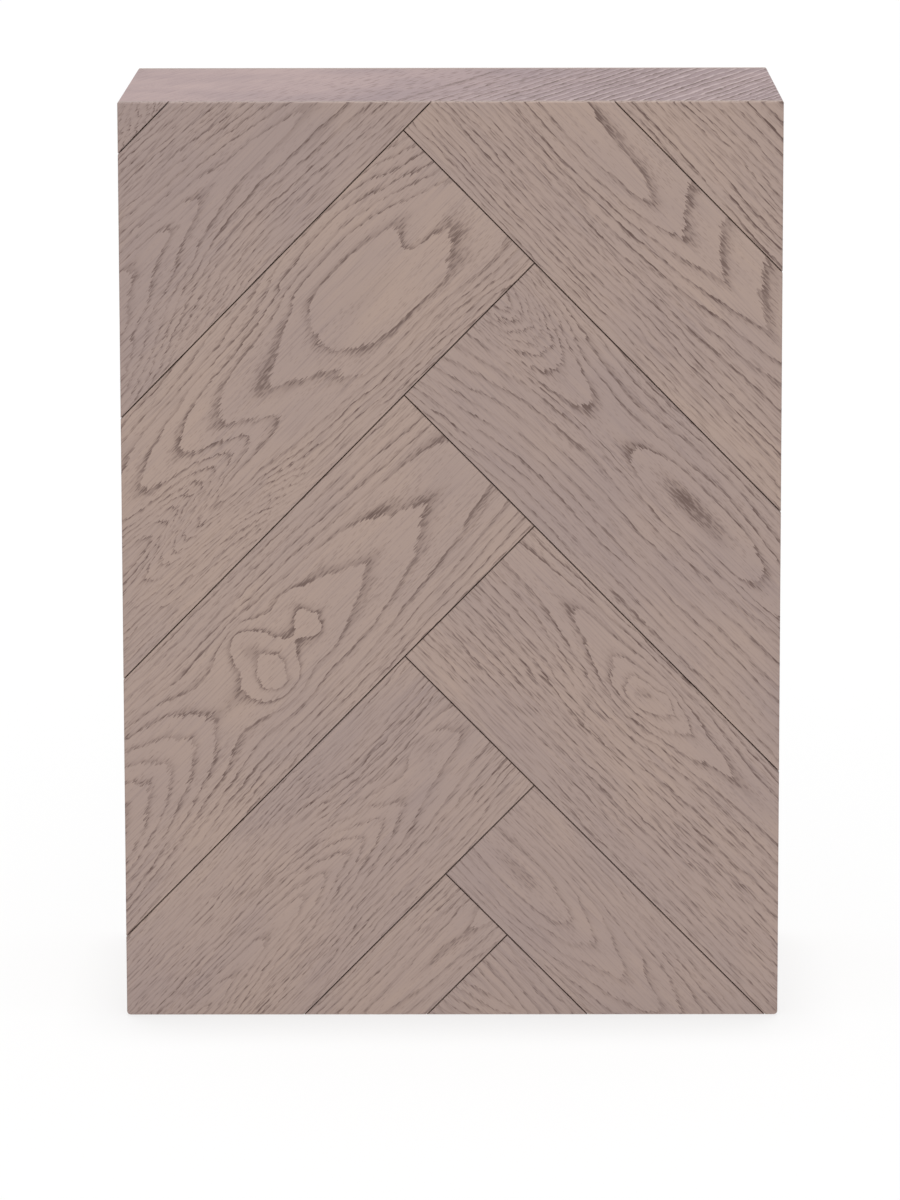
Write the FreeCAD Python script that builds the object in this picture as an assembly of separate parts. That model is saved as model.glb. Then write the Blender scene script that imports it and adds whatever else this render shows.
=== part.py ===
"""Parquet block: an upright rectangular block faced with oak boards, its front laid in herringbone.

The block stands on the ground plane, centred on the origin, with its front towards -Y and +Z up.
"""
import FreeCAD
import Part
import math
import os

from FreeCAD import Vector

# Overall size of the block, in millimetres
WIDTH = 320.0
DEPTH = 190.0
HEIGHT = 450.0

# Thickness of the oak boards on each face
FRONT_THICKNESS = 6.0
TOP_THICKNESS = 6.0
SIDE_THICKNESS = 6.0
BACK_THICKNESS = 6.0

# Edges of the finished block: a flat sanded on the top and upright edges, and a rounded foot
ARRIS = 0.5
FOOT_RADIUS = 2.5

# Herringbone: the boards' slope in degrees, and the open joint between two boards with its bevelled edges
LAY_ANGLE = 45.5
JOINT_GAP = 0.5
JOINT_BEVEL = 0.3

# How much of the top edge the first joint on each side cuts off, from the block's corner
LEFT_CORNER_LENGTH = 24.5
RIGHT_CORNER_LENGTH = 81.0

# Board widths across the grain, joint centre to joint centre: full stock, and the boards ripped to fit
BOARD_WIDTH = 90.0
FIRST_RIGHT_WIDTH = 82.0
LAST_LEFT_WIDTH = 43.0
LAST_RIGHT_WIDTH = 62.0

# Courses whose left board is full stock: on the right, the first and the last of them are ripped
FULL_COURSES = 4

# Planes that the pieces share
FRONT_FACE = -DEPTH / 2
BACK_FACE = DEPTH / 2
CORE_FRONT = FRONT_FACE + FRONT_THICKNESS
CORE_BACK = BACK_FACE - BACK_THICKNESS
CORE_TOP = HEIGHT - TOP_THICKNESS
CORE_HALF_WIDTH = WIDTH / 2 - SIDE_THICKNESS

# Distance past every edge of the block, for boards that run out to the edge and are sawn off there
BEYOND = WIDTH + HEIGHT


def box_between(low, high):
    """A box given by two opposite corners."""
    return Part.makeBox(high.x - low.x, high.y - low.y, high.z - low.z, low)


def edges_along(solid, axis, low, high):
    """The solid's straight edges along an axis whose heights lie between two values."""
    chosen = []
    for edge in solid.Edges:
        run = edge.Vertexes[-1].Point - edge.Vertexes[0].Point
        parallel = run.Length > 0 and abs(run.dot(axis)) > 0.999 * run.Length
        if parallel and edge.BoundBox.ZMin > low and edge.BoundBox.ZMax < high:
            chosen.append(edge)
    return chosen


def eased_block(axis):
    """The full block with the edges along one horizontal axis eased: round at the foot, flat at the top."""
    block = box_between(Vector(-WIDTH / 2, FRONT_FACE, 0), Vector(WIDTH / 2, BACK_FACE, HEIGHT))
    block = block.makeFillet(FOOT_RADIUS, edges_along(block, axis, -BEYOND, HEIGHT / 2))
    return block.makeChamfer(ARRIS, edges_along(block, axis, HEIGHT / 2, BEYOND))


def block_envelope():
    """The outside of the finished block, with every edge eased as it is after the boards are glued on."""
    upright = box_between(Vector(-WIDTH / 2, FRONT_FACE, 0), Vector(WIDTH / 2, BACK_FACE, HEIGHT))
    upright = upright.makeChamfer(ARRIS, edges_along(upright, Vector(0, 0, 1), -BEYOND, BEYOND))
    return upright.common(eased_block(Vector(1, 0, 0))).common(eased_block(Vector(0, 1, 0)))


def crossing(left, right):
    """The point on the front face where a left line and a right line cross."""
    sine = math.sin(math.radians(LAY_ANGLE))
    cosine = math.cos(math.radians(LAY_ANGLE))
    return Vector((right - left) / (2 * sine), FRONT_FACE, (left + right) / (2 * cosine))


def joint_lines():
    """Distances of the joints' centre lines from the origin, left family and right family, from the top down.

    A left joint climbs to the right and a right joint climbs to the left, both at the lay angle.
    """
    sine = math.sin(math.radians(LAY_ANGLE))
    cosine = math.cos(math.radians(LAY_ANGLE))
    left = [HEIGHT * cosine + (WIDTH / 2 - LEFT_CORNER_LENGTH) * sine]
    right = [HEIGHT * cosine + (WIDTH / 2 - RIGHT_CORNER_LENGTH) * sine]
    left_widths = [BOARD_WIDTH] * FULL_COURSES + [LAST_LEFT_WIDTH]
    right_widths = [FIRST_RIGHT_WIDTH] + [BOARD_WIDTH] * (FULL_COURSES - 2) + [LAST_RIGHT_WIDTH, BOARD_WIDTH]
    for left_width, right_width in zip(left_widths, right_widths):
        left.append(left[-1] - left_width)
        right.append(right[-1] - right_width)
    # A taller block or narrower boards take more full courses, until the spine has passed the foot
    while crossing(left[-1], right[-1]).z > 0:
        left.append(left[-1] - BOARD_WIDTH)
        right.append(right[-1] - BOARD_WIDTH)
    return left, right


def board_between(left_low, left_high, right_low, right_high):
    """One board between two left and two right lines, its face edges bevelled, not yet sawn to the block."""
    half_gap = JOINT_GAP / 2
    left_low, left_high = left_low + half_gap, left_high - half_gap
    right_low, right_high = right_low + half_gap, right_high - half_gap
    corners = [
        crossing(left_low, right_low),
        crossing(left_high, right_low),
        crossing(left_high, right_high),
        crossing(left_low, right_high),
    ]
    face = Part.Face(Part.makePolygon(corners + corners[:1]))
    board = face.extrude(Vector(0, FRONT_THICKNESS, 0))
    face_edges = [edge for edge in board.Edges if edge.BoundBox.YMax < FRONT_FACE + FRONT_THICKNESS / 2]
    return board.makeChamfer(JOINT_BEVEL, face_edges)


def front_boards():
    """The herringbone boards by name, laid left then right from the top, each butting the board before."""
    left, right = joint_lines()
    left_above, right_above = BEYOND, BEYOND
    boards = {}
    for course, (left_below, right_below) in enumerate(zip(left, right)):
        boards[f"front_board_left_{course}"] = board_between(left_below, left_above, -BEYOND, right_above)
        boards[f"front_board_right_{course}"] = board_between(-BEYOND, left_below, right_below, right_above)
        left_above, right_above = left_below, right_below
    return boards


def plain_pieces():
    """The core and the plain boards: the top covers the sides, the front and back cover all their edges."""
    half = WIDTH / 2
    core = CORE_HALF_WIDTH
    return {
        "core_block": box_between(Vector(-core, CORE_FRONT, 0), Vector(core, CORE_BACK, CORE_TOP)),
        "top_board": box_between(Vector(-half, CORE_FRONT, CORE_TOP), Vector(half, CORE_BACK, HEIGHT)),
        "left_side_board": box_between(Vector(-half, CORE_FRONT, 0), Vector(-core, CORE_BACK, CORE_TOP)),
        "right_side_board": box_between(Vector(core, CORE_FRONT, 0), Vector(half, CORE_BACK, CORE_TOP)),
        "back_board": box_between(Vector(-half, CORE_BACK, 0), Vector(half, BACK_FACE, HEIGHT)),
    }


def main():
    os.makedirs("parts", exist_ok=True)
    envelope = block_envelope()
    pieces = {**plain_pieces(), **front_boards()}
    for name, rough in pieces.items():
        finished = rough.common(envelope)
        # Every piece is convex, so it is one solid, or none where a board lies wholly off the block
        for solid in finished.Solids:
            solid.exportStep(f"parts/{name}.step")


main()
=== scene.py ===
"""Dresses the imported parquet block: stained oak boards that each have their own figure, a white floor, soft light and a
camera."""
import math
from collections import namedtuple

import bpy
from mathutils import Matrix, Vector

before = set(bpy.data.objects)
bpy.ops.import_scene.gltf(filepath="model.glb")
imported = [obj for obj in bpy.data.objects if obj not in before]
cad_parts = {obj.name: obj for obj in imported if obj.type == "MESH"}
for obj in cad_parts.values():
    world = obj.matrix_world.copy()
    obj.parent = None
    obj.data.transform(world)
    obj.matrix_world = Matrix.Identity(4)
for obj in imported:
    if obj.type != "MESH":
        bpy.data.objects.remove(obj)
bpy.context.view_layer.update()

# Sizes in millimetres, as in the CAD source
WIDTH, DEPTH, HEIGHT = 320, 190, 450
LAY_ANGLE = math.radians(45.5)
MM_PER_METRE = 1000

# Stain on the front, the sides and the back, then on the top, which looks rosier, then in every growth line
OAK_WARM = "#AC968A"
OAK_GREY = "#9F8C86"
ROSE_WARM = "#A78D8A"
ROSE_GREY = "#8A7375"
# The top's paler late wood: partly its own paler tone, partly a painted highlight of the lit flanks of brushed ridges
ROSE_PALE_AND_HIGHLIGHT = "#BEA9A8"
RING_BROWN = "#64504A"

# The bare carrier, and the studio
CORE_TAN = "#B79B78"
CORE_BROWN = "#8C7050"
PAPER_WHITE = "#FCFCFC"
STUDIO_WHITE = "#FFFFFF"

# A noise pattern: the size of its cells in mm, along, into and across the board, its detail, and where it starts
Pattern = namedtuple("Pattern", "cell detail start")

# How far growth lines are pushed, in mm along, into and across the board. They spread, wander and ripple, and the
# fibres fray them and then feather them.
SWAYS = (
    (Pattern((170, 25, 7), 1, 3.6), (0, 0, 3)),
    (Pattern((55, 25, 18), 1, 1.7), (9, 0, 3.5)),
    (Pattern((14, 9, 5), 2, 5.3), (4, 0, 3)),
    (Pattern((5, 2, 0.7), 1, 9.2), (4, 0, 1)),
    (Pattern((7, 2, 0.65), 1, 4.4), (9, 0, 0.6)),
)
RINGS_PER_MM_DEEP = 0.15

# Growth lines come and go along their length, pores crowd in places, and the pale wood has fine fibres and slow clouds
FADES, FADE_RANGE = Pattern((40, 20, 7), 1, 7.7), (0.35, 0.6)
CROWDS, CROWD_RANGE = Pattern((60, 20, 14), 1, 8.8), (0.35, 0.65)
FIBRES, FIBRE_RANGE, HAIR_RANGE = Pattern((34, 3, 0.8), 2, 6.1), (0.3, 0.7), (0.44, 0.3)
CLOUDS, CLOUD_RANGE = Pattern((70, 40, 45), 2, 2.6), (0.35, 0.65)
FIBRE_SHARE, CLOUD_SHARE = 0.5, 0.5

# Some rings are darker than others by chance. The chances start at this ring number.
FIRST_RING = 80
RING_STRENGTH = (0.8, 1.1)

# The least that is left of a growth line where it fades, near the middle line and far from it, and the share of the
# arches that is left where a place counts as near or as far
FAINTEST_NEAR, FAINTEST_FAR = 0.65, 0.3
NEAR_ARCH, FAR_ARCH = 0.9, 0.2

# Swells shorter than this are knots, which the fibres go round, so they feather no line of theirs. Every swell goes
# right through its board.
KNOT_HALF_LENGTH = 12
SWELL_DEPTH = 1000

# Pores are about 0.3 mm wide. They are drawn about twice as wide, since they would not show otherwise.
PORE_CELL = (5, 2, 0.75)
PORE_LEAST, PORE_MOST, PORE_GROWTH, PORE_SOFTNESS = 0.15, 0.36, 0.4, 0.22

# Longer dashes, which are bundles of pores. The top's are larger, since it is seen at a low angle.
FLECK_CELL, TOP_FLECK_CELL = (15, 2, 1.2), (20, 3, 2.2)
FLECK_SIZE, FLECK_SOFTNESS = 0.38, 0.2

# How much stain each of these takes up, and how much more a pore takes up in a growth line
PORE_STAIN, PORE_LINE_STAIN = 0.24, 0.2
EDGE_STAIN, FLECK_STAIN, HAIR_STAIN = 0.43, 1.8, 0.18

# Steps in cells from one board's patterns to the next one's, along and across, so that no two boards are alike
NOISE_STEP, PORE_STEP, FLECK_STEP = (7.3, 3.1), (2.9, 5.7), (1.3, 8.9)
STROKE_START = 0.4

# One ring from its sharp early edge to the late wood: the dark edge itself, the band of pores behind it, and the paler
# wood before the next edge, which on the top is partly its own paler tone and partly a painted highlight of a lit
# brushed ridge
EDGE_PROFILE = [(0, 0), (0.03, 1), (0.13, 0.75), (0.25, 0.3), (0.4, 0.05), (0.55, 0), (1, 0)]
BAND_PROFILE = [(0, 0), (0.02, 1), (0.12, 0.85), (0.24, 0.5), (0.45, 0.22), (0.75, 0.05), (1, 0)]
PALE_AND_HIGHLIGHT_PROFILE = [(0, 0), (0.65, 0), (0.85, 1), (0.95, 0.6), (1, 0)]

# The late wood turns paler over this span of the way from the middle line to the far sides: paler wood and painted
# highlight together
PALE_AND_HIGHLIGHT_SPAN = (0.5, 0.75)

# Matt lacquer, a little rougher where the pores drink it, and pores a fifth of a millimetre deep
LACQUER_ROUGHNESS, PORE_ROUGHNESS = 0.5, 0.66
LACQUER_GLOSS = 0.3
PORE_DEPTH, PORE_RELIEF = 0.0002, 0.3

# Share of an arch that is left at each step of its reach from the middle line
ARCH_FADE = [(-3, 0.1), (-2, 0.2), (-1, 0.5), (0, 1), (1, 0.5), (2, 0.2), (3, 0.1)]

# A board's figure. spine: the middle line of its arches as (mm along, mm across). along: (mm along, ring) on that line.
# rest: the ring that the arches fade to away from the line. across: (mm from the line, rings added to that).
# reach: mm below and above the line at which the arches are half as strong.
# swells: eyes and knots as (mm along, mm across, half length, half width, rings).
# warmth: 0 grey to 1 warm. contrast: how dark its lines are. flecks: how strong its dashes are on the flanks, between
# the middle line and the far sides. pale: how pale the late wood is far from the line, partly its own paler tone and
# partly a painted highlight of lit brushed ridges. greying: how much greyer the wood and how much darker its lines get
# away from the line.
Figure = namedtuple("Figure", "spine rest reach along across swells warmth contrast flecks pale greying",
                    defaults=(0.5, 0, 0))
POINTED = "VECTOR"

FIGURES = {
    "front_board_left_0": Figure(
        spine=[(190, 405), (230, 431)], rest=0, reach=(60, 60),
        along=[(190, 0), (230, 0.5)],
        across=[(-30, -9), (-6, -1.6), (0, 0), (5, 1.2), (30, 8)],
        swells=[], warmth=0, contrast=1.2, flecks=0.3),
    "front_board_left_1": Figure(
        spine=[(100, 372), (160, 370), (200, 370), (264, 364), (315, 358)], rest=2.6, reach=(34, 34),
        along=[(100, -1.5), (135, 0), (165, 1), (197, 2), (264, 3), (315, 3.6)],
        across=[(-48, 11), (-37, 7), (-28, 4.4), (-18, 2), (-10, 0.8), (0, 0), (5, 0.7), (12, 2.3), (22, 5), (42, 13)],
        swells=[(96, 318, 44, 26, -9), (176, 372, 12, 5, -0.4)], warmth=0.3, contrast=0.9, flecks=0.8),
    "front_board_left_2": Figure(
        spine=[(8, 296), (60, 294), (100, 291), (125, 286), (152, 280), (190, 279), (226, 279), (262, 276), (281, 272),
               (294, 271)], rest=0.25, reach=(40, 90),
        along=[(8, 8), (75, 5), (100, 4), (126, 3), (153, 2), (180, 1.5), (192, 1.08), (200, 0.5), (226, 0.25),
               (279, 1), (294, 1.6)],
        across=[(-48, 9), (-39, 5.2), (-32, 2.8), (-28, 1.7), (-21, 0.75), (-10, 0.3), (0, 0, POINTED), (10, 0.3),
                (20, 0.75), (27, 1.75), (32, 2.75), (38, 3.75), (44, 5)],
        swells=[(100, 322, 60, 14, 2.6), (158, 262, 30, 7, 0.7), (60, 271, 42, 7, 6.5), (98, 260, 28, 6, -3),
                (266, 282, 9, 4, 0.9)], warmth=0.6, contrast=1),
    "front_board_left_3": Figure(
        spine=[(-83, 188), (202, 187)], rest=4.2, reach=(36, 36),
        along=[(-83, -3), (-47, -0.6), (-35, 0.1), (-22, 1), (-8, 2), (8, 3), (23, 4), (34, 4.2), (60, 4.2), (104, 4.4),
               (132, 5), (172, 6), (202, 6.6)],
        across=[(-46, 6.6), (-36, 4), (-28, 2.4), (-17, 0.95), (-8, 0.38), (0, 0, POINTED), (8, 0.38), (17, 0.95),
                (24, 1.8), (29, 3), (38, 5), (44, 6.4)],
        swells=[(62, 192, 8.5, 17, -1.15), (58, 203, 8, 6, -0.75), (61, 178, 10, 7, -1.3), (91, 188, 5, 12, -0.75)],
        warmth=0.55, contrast=1),
    "front_board_left_4": Figure(
        spine=[(-106, 88), (-40, 92), (20, 95), (60, 93), (111, 96)], rest=2, reach=(18, 18),
        along=[(-106, -1.2), (-62, 1), (-38, 2), (-10, 3), (5, 4), (21, 5), (32, 6), (45, 7), (59, 8), (80, 8.7),
               (111, 9.2)],
        across=[(-40, 14), (-22, 6.6), (-12, 3), (-5, 0.8), (0, 0), (5, 0.8), (10, 2.4), (18, 5.4), (51, 20)],
        swells=[(88, 103, 9, 4.5, -1.3)], warmth=0.4, contrast=0.9, flecks=0.9),
    "front_board_left_5": Figure(
        spine=[(-51, 29), (48, 25)], rest=1.3, reach=(25, 25),
        along=[(-51, 1.9), (16, 1), (48, 0.3)],
        across=[(-18, 3), (-7.5, 1), (0, 0, POINTED), (5, 0.7), (10, 1.7), (26, 6.4)],
        swells=[(35, 27, 8, 3, 0.55)], warmth=0.4, contrast=0.8),
    "front_board_right_0": Figure(
        spine=[(-265, 442.6), (-150, 438)], rest=0.4, reach=(40, 40),
        along=[(-265, 0), (-150, 0.8)],
        across=[(-70, 15), (-52, 10.5), (-40, 6.5), (-26, 4), (-18, 2.6), (0, 0)],
        swells=[(-200, 400, 22, 6, 0.8)], warmth=0.65, contrast=1.4, flecks=0.8),
    "front_board_right_1": Figure(
        spine=[(-328, 352), (-200, 349), (-67, 344)], rest=3, reach=(26, 90),
        along=[(-328, 0.2), (-290, 0.25), (-250, 0.45), (-218, 1), (-195, 2), (-167, 3), (-136, 4), (-100, 4.8),
               (-67, 5.3)],
        across=[(-57, 12.8), (-43, 8.4), (-28, 4.3), (-21, 3), (-10, 1.3), (-5, 0.6), (0, 0, POINTED), (8, 0.35),
                (25, 0.75)],
        swells=[(-264, 368, 24, 6, 0.6)], warmth=0.6, contrast=1.1, flecks=0.9),
    "front_board_right_2": Figure(
        spine=[(-237, 262), (25, 261)], rest=5.06, reach=(14, 24),
        along=[(-237, 6.3), (-172, 6.12), (-156, 6.2), (-140, 6), (-122, 5.35), (-95, 5.06), (-68, 5.35), (-50, 6),
               (-36, 6.6), (-15, 7.1), (25, 7.6)],
        across=[(-61, 11.8), (-46, 8.6), (-33, 5.94), (-21, 3.94), (-15, 2.94), (-12, 1.94), (-9.5, 0.94), (0, 0),
                (9.5, 0.94), (14, 1.94), (20, 2.94), (29, 4.9)],
        swells=[(-243, 267, 27, 12, -7), (-155, 262, 9, 5, 0.4), (-255, 214, 38, 22, -3.4)],
        warmth=0.35, contrast=1.05),
    "front_board_right_3": Figure(
        spine=[(-145, 183), (107, 180)], rest=5.1, reach=(30, 30),
        along=[(-145, 5.6), (-110, 5.4), (-88, 5), (-60, 4.8), (-30, 4.8), (4, 5), (20, 5.2), (107, 5.8)],
        across=[(-70, 15.4), (-52, 10.6), (-35, 6.2), (-20, 3.1), (-11, 1.2), (-5, 0.4), (0, 0), (8, 0.7), (20, 3)],
        swells=[(-46, 181, 15, 8, -1.5), (-52, 178, 6, 4, -0.5), (-39, 187, 4, 3, -0.7), (-49, 166, 27, 14, -1.5),
                (-100, 190, 14, 5, -0.4)], warmth=0.5, contrast=1, flecks=1.2),
    "front_board_right_4": Figure(
        spine=[(-54, 74), (107, 74)], rest=0.9, reach=(26, 26),
        along=[(-54, 0.4), (-30, 0.1), (6, 1), (22, 2), (45, 3), (68, 4), (90, 4.8), (107, 5.2)],
        across=[(-26, 5.5), (-16, 2.4), (-8, 0.8), (0, 0), (8, 0.8), (16, 2.4), (36, 8)],
        swells=[], warmth=0.3, contrast=0.7),
    "front_board_right_5": Figure(
        spine=[(-10, 21), (46, 26.6)], rest=1, reach=(25, 25),
        along=[(-10, 0), (46, 2.2)],
        across=[(-50, 10), (-20, 4), (0, 0, POINTED), (20, 4)],
        swells=[], warmth=0.3, contrast=0.8),
    "top_board": Figure(
        spine=[(-120, 130), (120, 130)], rest=0, reach=(130, 110),
        along=[(-120, 0), (120, 0.3)],
        across=[(-311, 31), (-272, 22.5), (-230, 16), (-190, 9.5), (-150, 3.2), (-139, 1.7), (-130, 1), (-118, 0.7),
                (-60, 0.4), (0, 0.2), (60, 0.2)],
        swells=[], warmth=0.75, contrast=1, flecks=1.2, pale=0.7, greying=0.95),
    "left_side_board": Figure(
        spine=[(0, 8), (450, 8)], rest=4, reach=(60, 60),
        along=[(0, 0), (90, 1), (160, 3), (260, 4), (330, 6), (450, 8)],
        across=[(-105, 19), (-50, 7), (-20, 1.2), (0, 0, POINTED), (24, 1.3), (60, 9), (90, 16)],
        swells=[], warmth=0.45, contrast=0.9),
    "right_side_board": Figure(
        spine=[(0, -14), (450, -0.5)], rest=3, reach=(60, 60),
        along=[(0, 7), (110, 5), (190, 3), (300, 2), (390, 0), (450, -1)],
        across=[(-85, 16), (-50, 8), (-18, 1.2), (0, 0, POINTED), (22, 1.2), (60, 7), (110, 19)],
        swells=[], warmth=0.55, contrast=0.9),
    "back_board": Figure(
        spine=[(0, -20), (450, -29)], rest=3.6, reach=(70, 70),
        along=[(0, 0), (80, 1), (150, 3), (250, 3.6), (300, 4.4), (450, 8)],
        across=[(-150, 25), (-70, 9), (-25, 1.4), (0, 0, POINTED), (30, 1.4), (80, 9), (185, 31)],
        swells=[(215, 0, 30, 12, -2.2)], warmth=0.5, contrast=0.9),
}


def linear(hex_colour):
    """An sRGB hex colour as the linear RGBA that a socket takes."""
    channels = [int(hex_colour[i:i + 2], 16) / 255 for i in (1, 3, 5)]
    return [c / 12.92 if c <= 0.04045 else ((c + 0.055) / 1.055) ** 2.4 for c in channels] + [1]


def add(tree, kind, inputs=None, points=None, extend="EXTRAPOLATED", **settings):
    """Adds one node. inputs: by name or number, a socket to link or a value; points: the knots of a curve node."""
    node = tree.nodes.new(kind)
    for name, value in settings.items():
        setattr(node, name, value)
    for key, value in (inputs or {}).items():
        if isinstance(value, bpy.types.NodeSocket):
            tree.links.new(value, node.inputs[key])
        else:
            node.inputs[key].default_value = value
    if points:
        node.mapping.use_clip = False
        node.mapping.extend = extend
        curve = node.mapping.curves[0]
        for place in points[2:]:
            curve.points.new(*place[:2])
        for knot, place in zip(curve.points, points):
            knot.location = place[:2]
            knot.handle_type = place[2] if len(place) > 2 else "AUTO_CLAMPED"
        node.mapping.update()
    return node


def calc(tree, operation, *values):
    """The result of one sum on sockets or numbers."""
    return add(tree, "ShaderNodeMath", dict(enumerate(values)), operation=operation).outputs[0]


def ramp(tree, value, span, start, end):
    """A straight ramp from start to end over a span of the value, level beyond it."""
    return add(tree, "ShaderNodeMapRange", {0: value, 1: span[0], 2: span[1], 3: start, 4: end}).outputs[0]


def curve_of(tree, value, points, extend="EXTRAPOLATED"):
    """A smooth curve of the value through these points."""
    return add(tree, "ShaderNodeFloatCurve", {1: value}, points=points, extend=extend).outputs[0]


def blend(tree, share, first, second):
    """The first colour, with this share of the second."""
    return add(tree, "ShaderNodeMix", {0: share, 6: first, 7: second}, data_type="RGBA").outputs[2]


def in_cells(tree, board, start, cell):
    """Places on the board counted in cells of this size in mm."""
    return add(tree, "ShaderNodeMapping", {
        "Vector": board, "Location": start, "Scale": [1 / mm for mm in cell]}).outputs[0]


def new_material(name):
    """An empty node material and its tree."""
    material = bpy.data.materials.new(name)
    material.use_nodes = True
    material.node_tree.nodes.clear()
    return material, material.node_tree


def growth_rings(tree, figure, place, calm):
    """(ring number, share of the arches that is left) at each place. A growth line runs where the number is whole."""
    along, into, across = add(tree, "ShaderNodeSeparateXYZ", {0: place}).outputs
    off_spine = calc(tree, "SUBTRACT", across, curve_of(tree, along, figure.spine))
    arches = curve_of(tree, along, [(mm, ring - figure.rest) for mm, ring in figure.along])
    sides = curve_of(tree, off_spine, [
        (mm, figure.rest + rings, *shape) for mm, rings, *shape in figure.across])
    fading = curve_of(tree, off_spine, [
        (step * figure.reach[step > 0], share) for step, share in ARCH_FADE], extend="HORIZONTAL")
    ring = calc(tree, "MULTIPLY_ADD", arches, fading, sides)
    ring = calc(tree, "MULTIPLY_ADD", into, RINGS_PER_MM_DEEP, ring)
    for u, v, half_length, half_width, rings in figure.swells:
        near = add(tree, "ShaderNodeMapping", {
            "Vector": calm if half_length < KNOT_HALF_LENGTH else place, "Location": (u, 0, v),
            "Scale": (half_length * math.sqrt(2), SWELL_DEPTH, half_width * math.sqrt(2))},
            vector_type="TEXTURE").outputs[0]
        far = add(tree, "ShaderNodeVectorMath", {0: near, 1: near}, operation="DOT_PRODUCT").outputs["Value"]
        ring = calc(tree, "MULTIPLY_ADD", calc(tree, "POWER", math.exp(-1), far), rings, ring)
    return ring, fading


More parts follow.
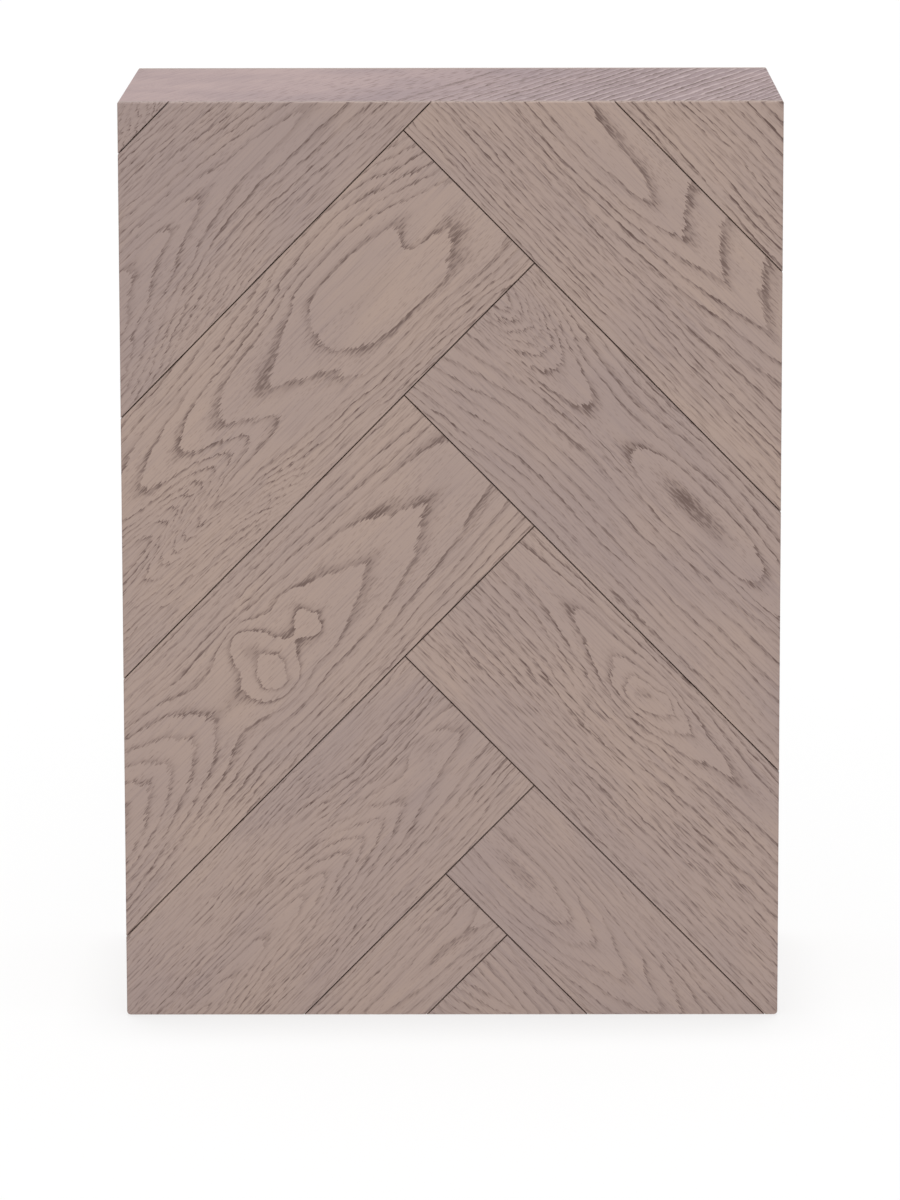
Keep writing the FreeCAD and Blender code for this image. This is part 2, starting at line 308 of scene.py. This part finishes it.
def stained_oak(name, figure, stains, fleck_cell, lie, seed):
    """Sawn oak, grey-brown stained and matt lacquered: growth lines that the stain darkens, open pores drawn out along
    the grain, and a soft pale bloom where it is seen at a low angle."""
    material, tree = new_material(name)
    grain, inward, face = lie
    turn = Matrix((grain, inward, grain.cross(inward))).to_euler()
    spot = add(tree, "ShaderNodeTexCoord").outputs["Object"]
    board = add(tree, "ShaderNodeMapping", {
        "Vector": spot, "Location": (0, -face, 0), "Rotation": turn, "Scale": (MM_PER_METRE,) * 3}).outputs[0]

    def noise(pattern):
        """A noise drawn out to the pattern's cells."""
        cells = in_cells(tree, board, (seed * NOISE_STEP[0], pattern.start, seed * NOISE_STEP[1]), pattern.cell)
        return add(tree, "ShaderNodeTexNoise", {"Vector": cells, "Scale": 1, "Detail": pattern.detail})

    def strokes(cell, step):
        """How far each place is from the middle of its nearest stroke, in cells."""
        cells = in_cells(tree, board, (seed * step[0], STROKE_START, seed * step[1]), cell)
        return add(tree, "ShaderNodeTexVoronoi", {"Vector": cells, "Scale": 1}).outputs["Distance"]

    # Where the growth lines run
    place = board
    for pattern, push in SWAYS:
        calm = place
        sway = add(tree, "ShaderNodeVectorMath", {
            0: noise(pattern).outputs["Color"], 1: (0.5, 0.5, 0.5)}, operation="SUBTRACT").outputs[0]
        place = add(tree, "ShaderNodeVectorMath", {0: sway, 1: push, 2: place}, operation="MULTIPLY_ADD").outputs[0]
    ring, fading = growth_rings(tree, figure, place, calm)
    phase = calc(tree, "FRACT", ring)

    # Some rings are stronger than others, and each one comes and goes
    number = calc(tree, "ADD", calc(tree, "FLOOR", ring), FIRST_RING)
    chance = add(tree, "ShaderNodeTexWhiteNoise", {"W": number}, noise_dimensions="1D").outputs["Value"]
    strength = ramp(tree, chance, (0, 1), *(figure.contrast * share for share in RING_STRENGTH))
    away = calc(tree, "SUBTRACT", 1, fading)
    flank = calc(tree, "MULTIPLY", fading, away)
    growth = ramp(tree, away, (0, 1), 1 - figure.greying, 1 + figure.greying)
    strength = calc(tree, "MULTIPLY", strength, growth)
    faintest = ramp(tree, fading, (NEAR_ARCH, FAR_ARCH), FAINTEST_NEAR, FAINTEST_FAR)
    fade = ramp(tree, noise(FADES).outputs[0], FADE_RANGE, faintest, 1)
    strength = calc(tree, "MULTIPLY", strength, fade)

    # Open pores: short strokes along the grain, which grow and join behind a growth line
    band = calc(tree, "MULTIPLY", curve_of(tree, phase, BAND_PROFILE), strength)
    size = ramp(tree, noise(CROWDS).outputs[0], CROWD_RANGE, PORE_LEAST, PORE_MOST)
    size = calc(tree, "MULTIPLY_ADD", band, PORE_GROWTH, size)
    depth_in = calc(tree, "SUBTRACT", size, strokes(PORE_CELL, PORE_STEP))
    pores = ramp(tree, depth_in, (0, PORE_SOFTNESS), 0, 1)
    stain = calc(tree, "MULTIPLY", pores, calc(tree, "MULTIPLY_ADD", band, PORE_LINE_STAIN, PORE_STAIN))

    # The sharp dark edge of each ring
    edge = calc(tree, "MULTIPLY", curve_of(tree, phase, EDGE_PROFILE), strength)
    stain = calc(tree, "MULTIPLY_ADD", edge, EDGE_STAIN, stain)

    # Longer dashes on the flanks
    flecks = ramp(tree, strokes(fleck_cell, FLECK_STEP), (FLECK_SIZE, FLECK_SIZE - FLECK_SOFTNESS),
                  0, FLECK_STAIN * figure.flecks)
    stain = calc(tree, "MULTIPLY_ADD", flecks, flank, stain)

    # Colour: slow clouds and fine fibres in the pale wood, then a painted highlight on the late wood, then the stained
    # lines
    clouds = ramp(tree, noise(CLOUDS).outputs[0], CLOUD_RANGE, 0, 1)
    streaks = noise(FIBRES).outputs[0]
    fibres = ramp(tree, streaks, FIBRE_RANGE, 0, 1)
    stain = calc(tree, "ADD", stain, ramp(tree, streaks, HAIR_RANGE, 0, HAIR_STAIN))
    greyest = figure.warmth - (CLOUD_SHARE + FIBRE_SHARE) / 2 - figure.greying
    shade = calc(tree, "MULTIPLY_ADD", clouds, CLOUD_SHARE, greyest)
    shade = calc(tree, "MULTIPLY_ADD", fibres, FIBRE_SHARE, shade)
    shade = calc(tree, "MULTIPLY_ADD", fading, figure.greying, shade)
    wood = blend(tree, shade, *(linear(stain_colour) for stain_colour in stains))
    # Painted highlight: far from the middle line the late wood before each edge turns pale, partly its own paler tone
    # and partly the lit flanks of brushed ridges painted into the colour
    if figure.pale:
        pale_and_highlight_reach = ramp(tree, away, PALE_AND_HIGHLIGHT_SPAN, 0, 1)
        late_pale_and_highlight = calc(tree, "MULTIPLY", curve_of(tree, phase, PALE_AND_HIGHLIGHT_PROFILE), pale_and_highlight_reach)
        wood = blend(tree, calc(tree, "MULTIPLY", late_pale_and_highlight, figure.pale), wood, linear(ROSE_PALE_AND_HIGHLIGHT))
    wood = blend(tree, stain, wood, linear(RING_BROWN))
    relief = add(tree, "ShaderNodeBump", {
        "Height": stain, "Strength": PORE_RELIEF, "Distance": PORE_DEPTH}, invert=True).outputs[0]
    shader = add(tree, "ShaderNodeBsdfPrincipled", {
        "Base Color": wood, "Roughness": ramp(tree, stain, (0, 1), LACQUER_ROUGHNESS, PORE_ROUGHNESS),
        "Specular IOR Level": LACQUER_GLOSS, "Normal": relief})
    add(tree, "ShaderNodeOutputMaterial", {"Surface": shader.outputs[0]})
    return material


# Fibres of the plywood per metre, across both ways and up: they are about 1 mm wide and 33 mm long
PLY_FIBRES, PLY_FIBRE_DETAIL = (900, 900, 30), 3
PLY_ROUGHNESS, PLY_DEPTH, PLY_RELIEF = 0.8, 0.0002, 0.2


def raw_plywood(name):
    """Raw sanded plywood of the hidden carrier: dull tan, with fine fibres up its height."""
    material, tree = new_material(name)
    spot = add(tree, "ShaderNodeTexCoord").outputs["Object"]
    cells = add(tree, "ShaderNodeMapping", {"Vector": spot, "Scale": PLY_FIBRES}).outputs[0]
    fibres = add(tree, "ShaderNodeTexNoise", {"Vector": cells, "Scale": 1, "Detail": PLY_FIBRE_DETAIL}).outputs[0]
    relief = add(tree, "ShaderNodeBump", {"Height": fibres, "Strength": PLY_RELIEF, "Distance": PLY_DEPTH}).outputs[0]
    shader = add(tree, "ShaderNodeBsdfPrincipled", {
        "Base Color": blend(tree, fibres, linear(CORE_BROWN), linear(CORE_TAN)), "Roughness": PLY_ROUGHNESS,
        "Normal": relief})
    add(tree, "ShaderNodeOutputMaterial", {"Surface": shader.outputs[0]})
    return material


# Which way each board's grain runs, which way leads into it, and how far along that its face lies, in mm
UP, INTO_BLOCK, RIGHT = Vector((0, 0, 1)), Vector((0, 1, 0)), Vector((1, 0, 0))
TOP_GRAIN_ANGLE = math.radians(73)
RISING = Vector((math.cos(LAY_ANGLE), 0, math.sin(LAY_ANGLE)))
FALLING = Vector((math.cos(LAY_ANGLE), 0, -math.sin(LAY_ANGLE)))
ACROSS_TOP = Vector((math.cos(TOP_GRAIN_ANGLE), math.sin(TOP_GRAIN_ANGLE), 0))


def lie_of(node):
    """(grain direction, direction into the board, distance of its face along that) for one board."""
    if node.startswith("front_board_left"):
        return RISING, INTO_BLOCK, -DEPTH / 2
    if node.startswith("front_board_right"):
        return FALLING, INTO_BLOCK, -DEPTH / 2
    if node == "top_board":
        return ACROSS_TOP, -UP, -HEIGHT
    if node == "left_side_board":
        return UP, RIGHT, -WIDTH / 2
    if node == "right_side_board":
        return UP, -RIGHT, -WIDTH / 2
    return UP, -INTO_BLOCK, -DEPTH / 2


for seed, (node, figure) in enumerate(FIGURES.items(), start=1):
    stains, fleck_cell = (OAK_GREY, OAK_WARM), FLECK_CELL
    if node == "top_board":
        stains, fleck_cell = (ROSE_GREY, ROSE_WARM), TOP_FLECK_CELL
    oak = stained_oak("stained_oak_" + node, figure, stains, fleck_cell, lie_of(node), seed)
    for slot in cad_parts[node].material_slots:
        slot.material = oak
plywood = raw_plywood("raw_plywood_carrier")
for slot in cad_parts["core_block"].material_slots:
    slot.material = plywood

# A wide floor of white paper. Part of its light is its own, the same all over, so it stays white with a faint shadow.
FLOOR_REACH = 20
FLOOR_GLOW = 0.72
floor_mesh = bpy.data.meshes.new("floor")
floor_mesh.from_pydata([(x * FLOOR_REACH, y * FLOOR_REACH, 0) for x, y in ((-1, -1), (1, -1), (1, 1), (-1, 1))],
                       [], [(0, 1, 2, 3)])
floor = bpy.data.objects.new("floor", floor_mesh)
bpy.context.scene.collection.objects.link(floor)
paper, tree = new_material("white_studio_paper")
matt = add(tree, "ShaderNodeBsdfDiffuse", {"Color": linear(PAPER_WHITE)})
glow = add(tree, "ShaderNodeEmission", {"Color": linear(STUDIO_WHITE), "Strength": 1})
paper_mix = add(tree, "ShaderNodeMixShader", {0: FLOOR_GLOW, 1: matt.outputs[0], 2: glow.outputs[0]})
add(tree, "ShaderNodeOutputMaterial", {"Surface": paper_mix.outputs[0]})
floor_mesh.materials.append(paper)

# A white studio all round, which lights the block less than it shows
AMBIENT = 0.56
world = bpy.data.worlds.new("white_studio")
bpy.context.scene.world = world
world.use_nodes = True
tree = world.node_tree
tree.nodes.clear()
ray = add(tree, "ShaderNodeLightPath")
seen = ray.outputs["Is Camera Ray"]
for kind in ("Is Glossy Ray", "Is Transmission Ray"):
    seen = calc(tree, "MAXIMUM", seen, ray.outputs[kind])
sky = add(tree, "ShaderNodeBackground", {
    "Color": linear(STUDIO_WHITE), "Strength": ramp(tree, seen, (0, 1), AMBIENT, 1)})
add(tree, "ShaderNodeOutputWorld", {"Surface": sky.outputs[0]})

# Lamps: strength, then how wide their light is spread and how far they lean forward from overhead, in degrees. The
# first one leans back a little and gives the shadow in front of the foot, and the second one lights the front.
LAMPS = {"overhead_panel": (1.3, 9, -4), "front_fill": (0.8, 60, 70)}
for name, (strength, spread, lean) in LAMPS.items():
    lamp = bpy.data.lights.new(name, "SUN")
    lamp.energy = strength
    lamp.angle = math.radians(spread)
    light = bpy.data.objects.new(name, lamp)
    light.rotation_euler = (math.radians(lean), 0, 0)
    bpy.context.scene.collection.objects.link(light)

# Camera, placed by fitting the block's corners and joints to the photograph
LENS, SENSOR_HEIGHT = 187.535, 36
CAMERA_PLACE = Vector((0.016057, -3.091723, 0.725078))
CAMERA_DOWN, CAMERA_TURN, CAMERA_ROLL = math.radians(9.8), math.radians(0.31955), math.radians(-0.11176)
side = Vector((math.cos(CAMERA_TURN), math.sin(CAMERA_TURN), 0))
level = Vector((-math.sin(CAMERA_TURN), math.cos(CAMERA_TURN), 0))
ahead = level * math.cos(CAMERA_DOWN) - UP * math.sin(CAMERA_DOWN)
over = side.cross(ahead)
rolled_side = side * math.cos(CAMERA_ROLL) + over * math.sin(CAMERA_ROLL)
rolled_over = over * math.cos(CAMERA_ROLL) - side * math.sin(CAMERA_ROLL)
lens = bpy.data.cameras.new("photo_view")
lens.sensor_fit = "VERTICAL"
lens.sensor_height = SENSOR_HEIGHT
lens.lens = LENS
camera = bpy.data.objects.new("photo_view", lens)
camera.matrix_world = Matrix.Translation(CAMERA_PLACE) @ Matrix(
    (rolled_side, rolled_over, -ahead)).transposed().to_4x4()
bpy.context.scene.collection.objects.link(camera)
bpy.context.scene.camera = camera
bpy.context.scene.view_settings.view_transform = "Standard"
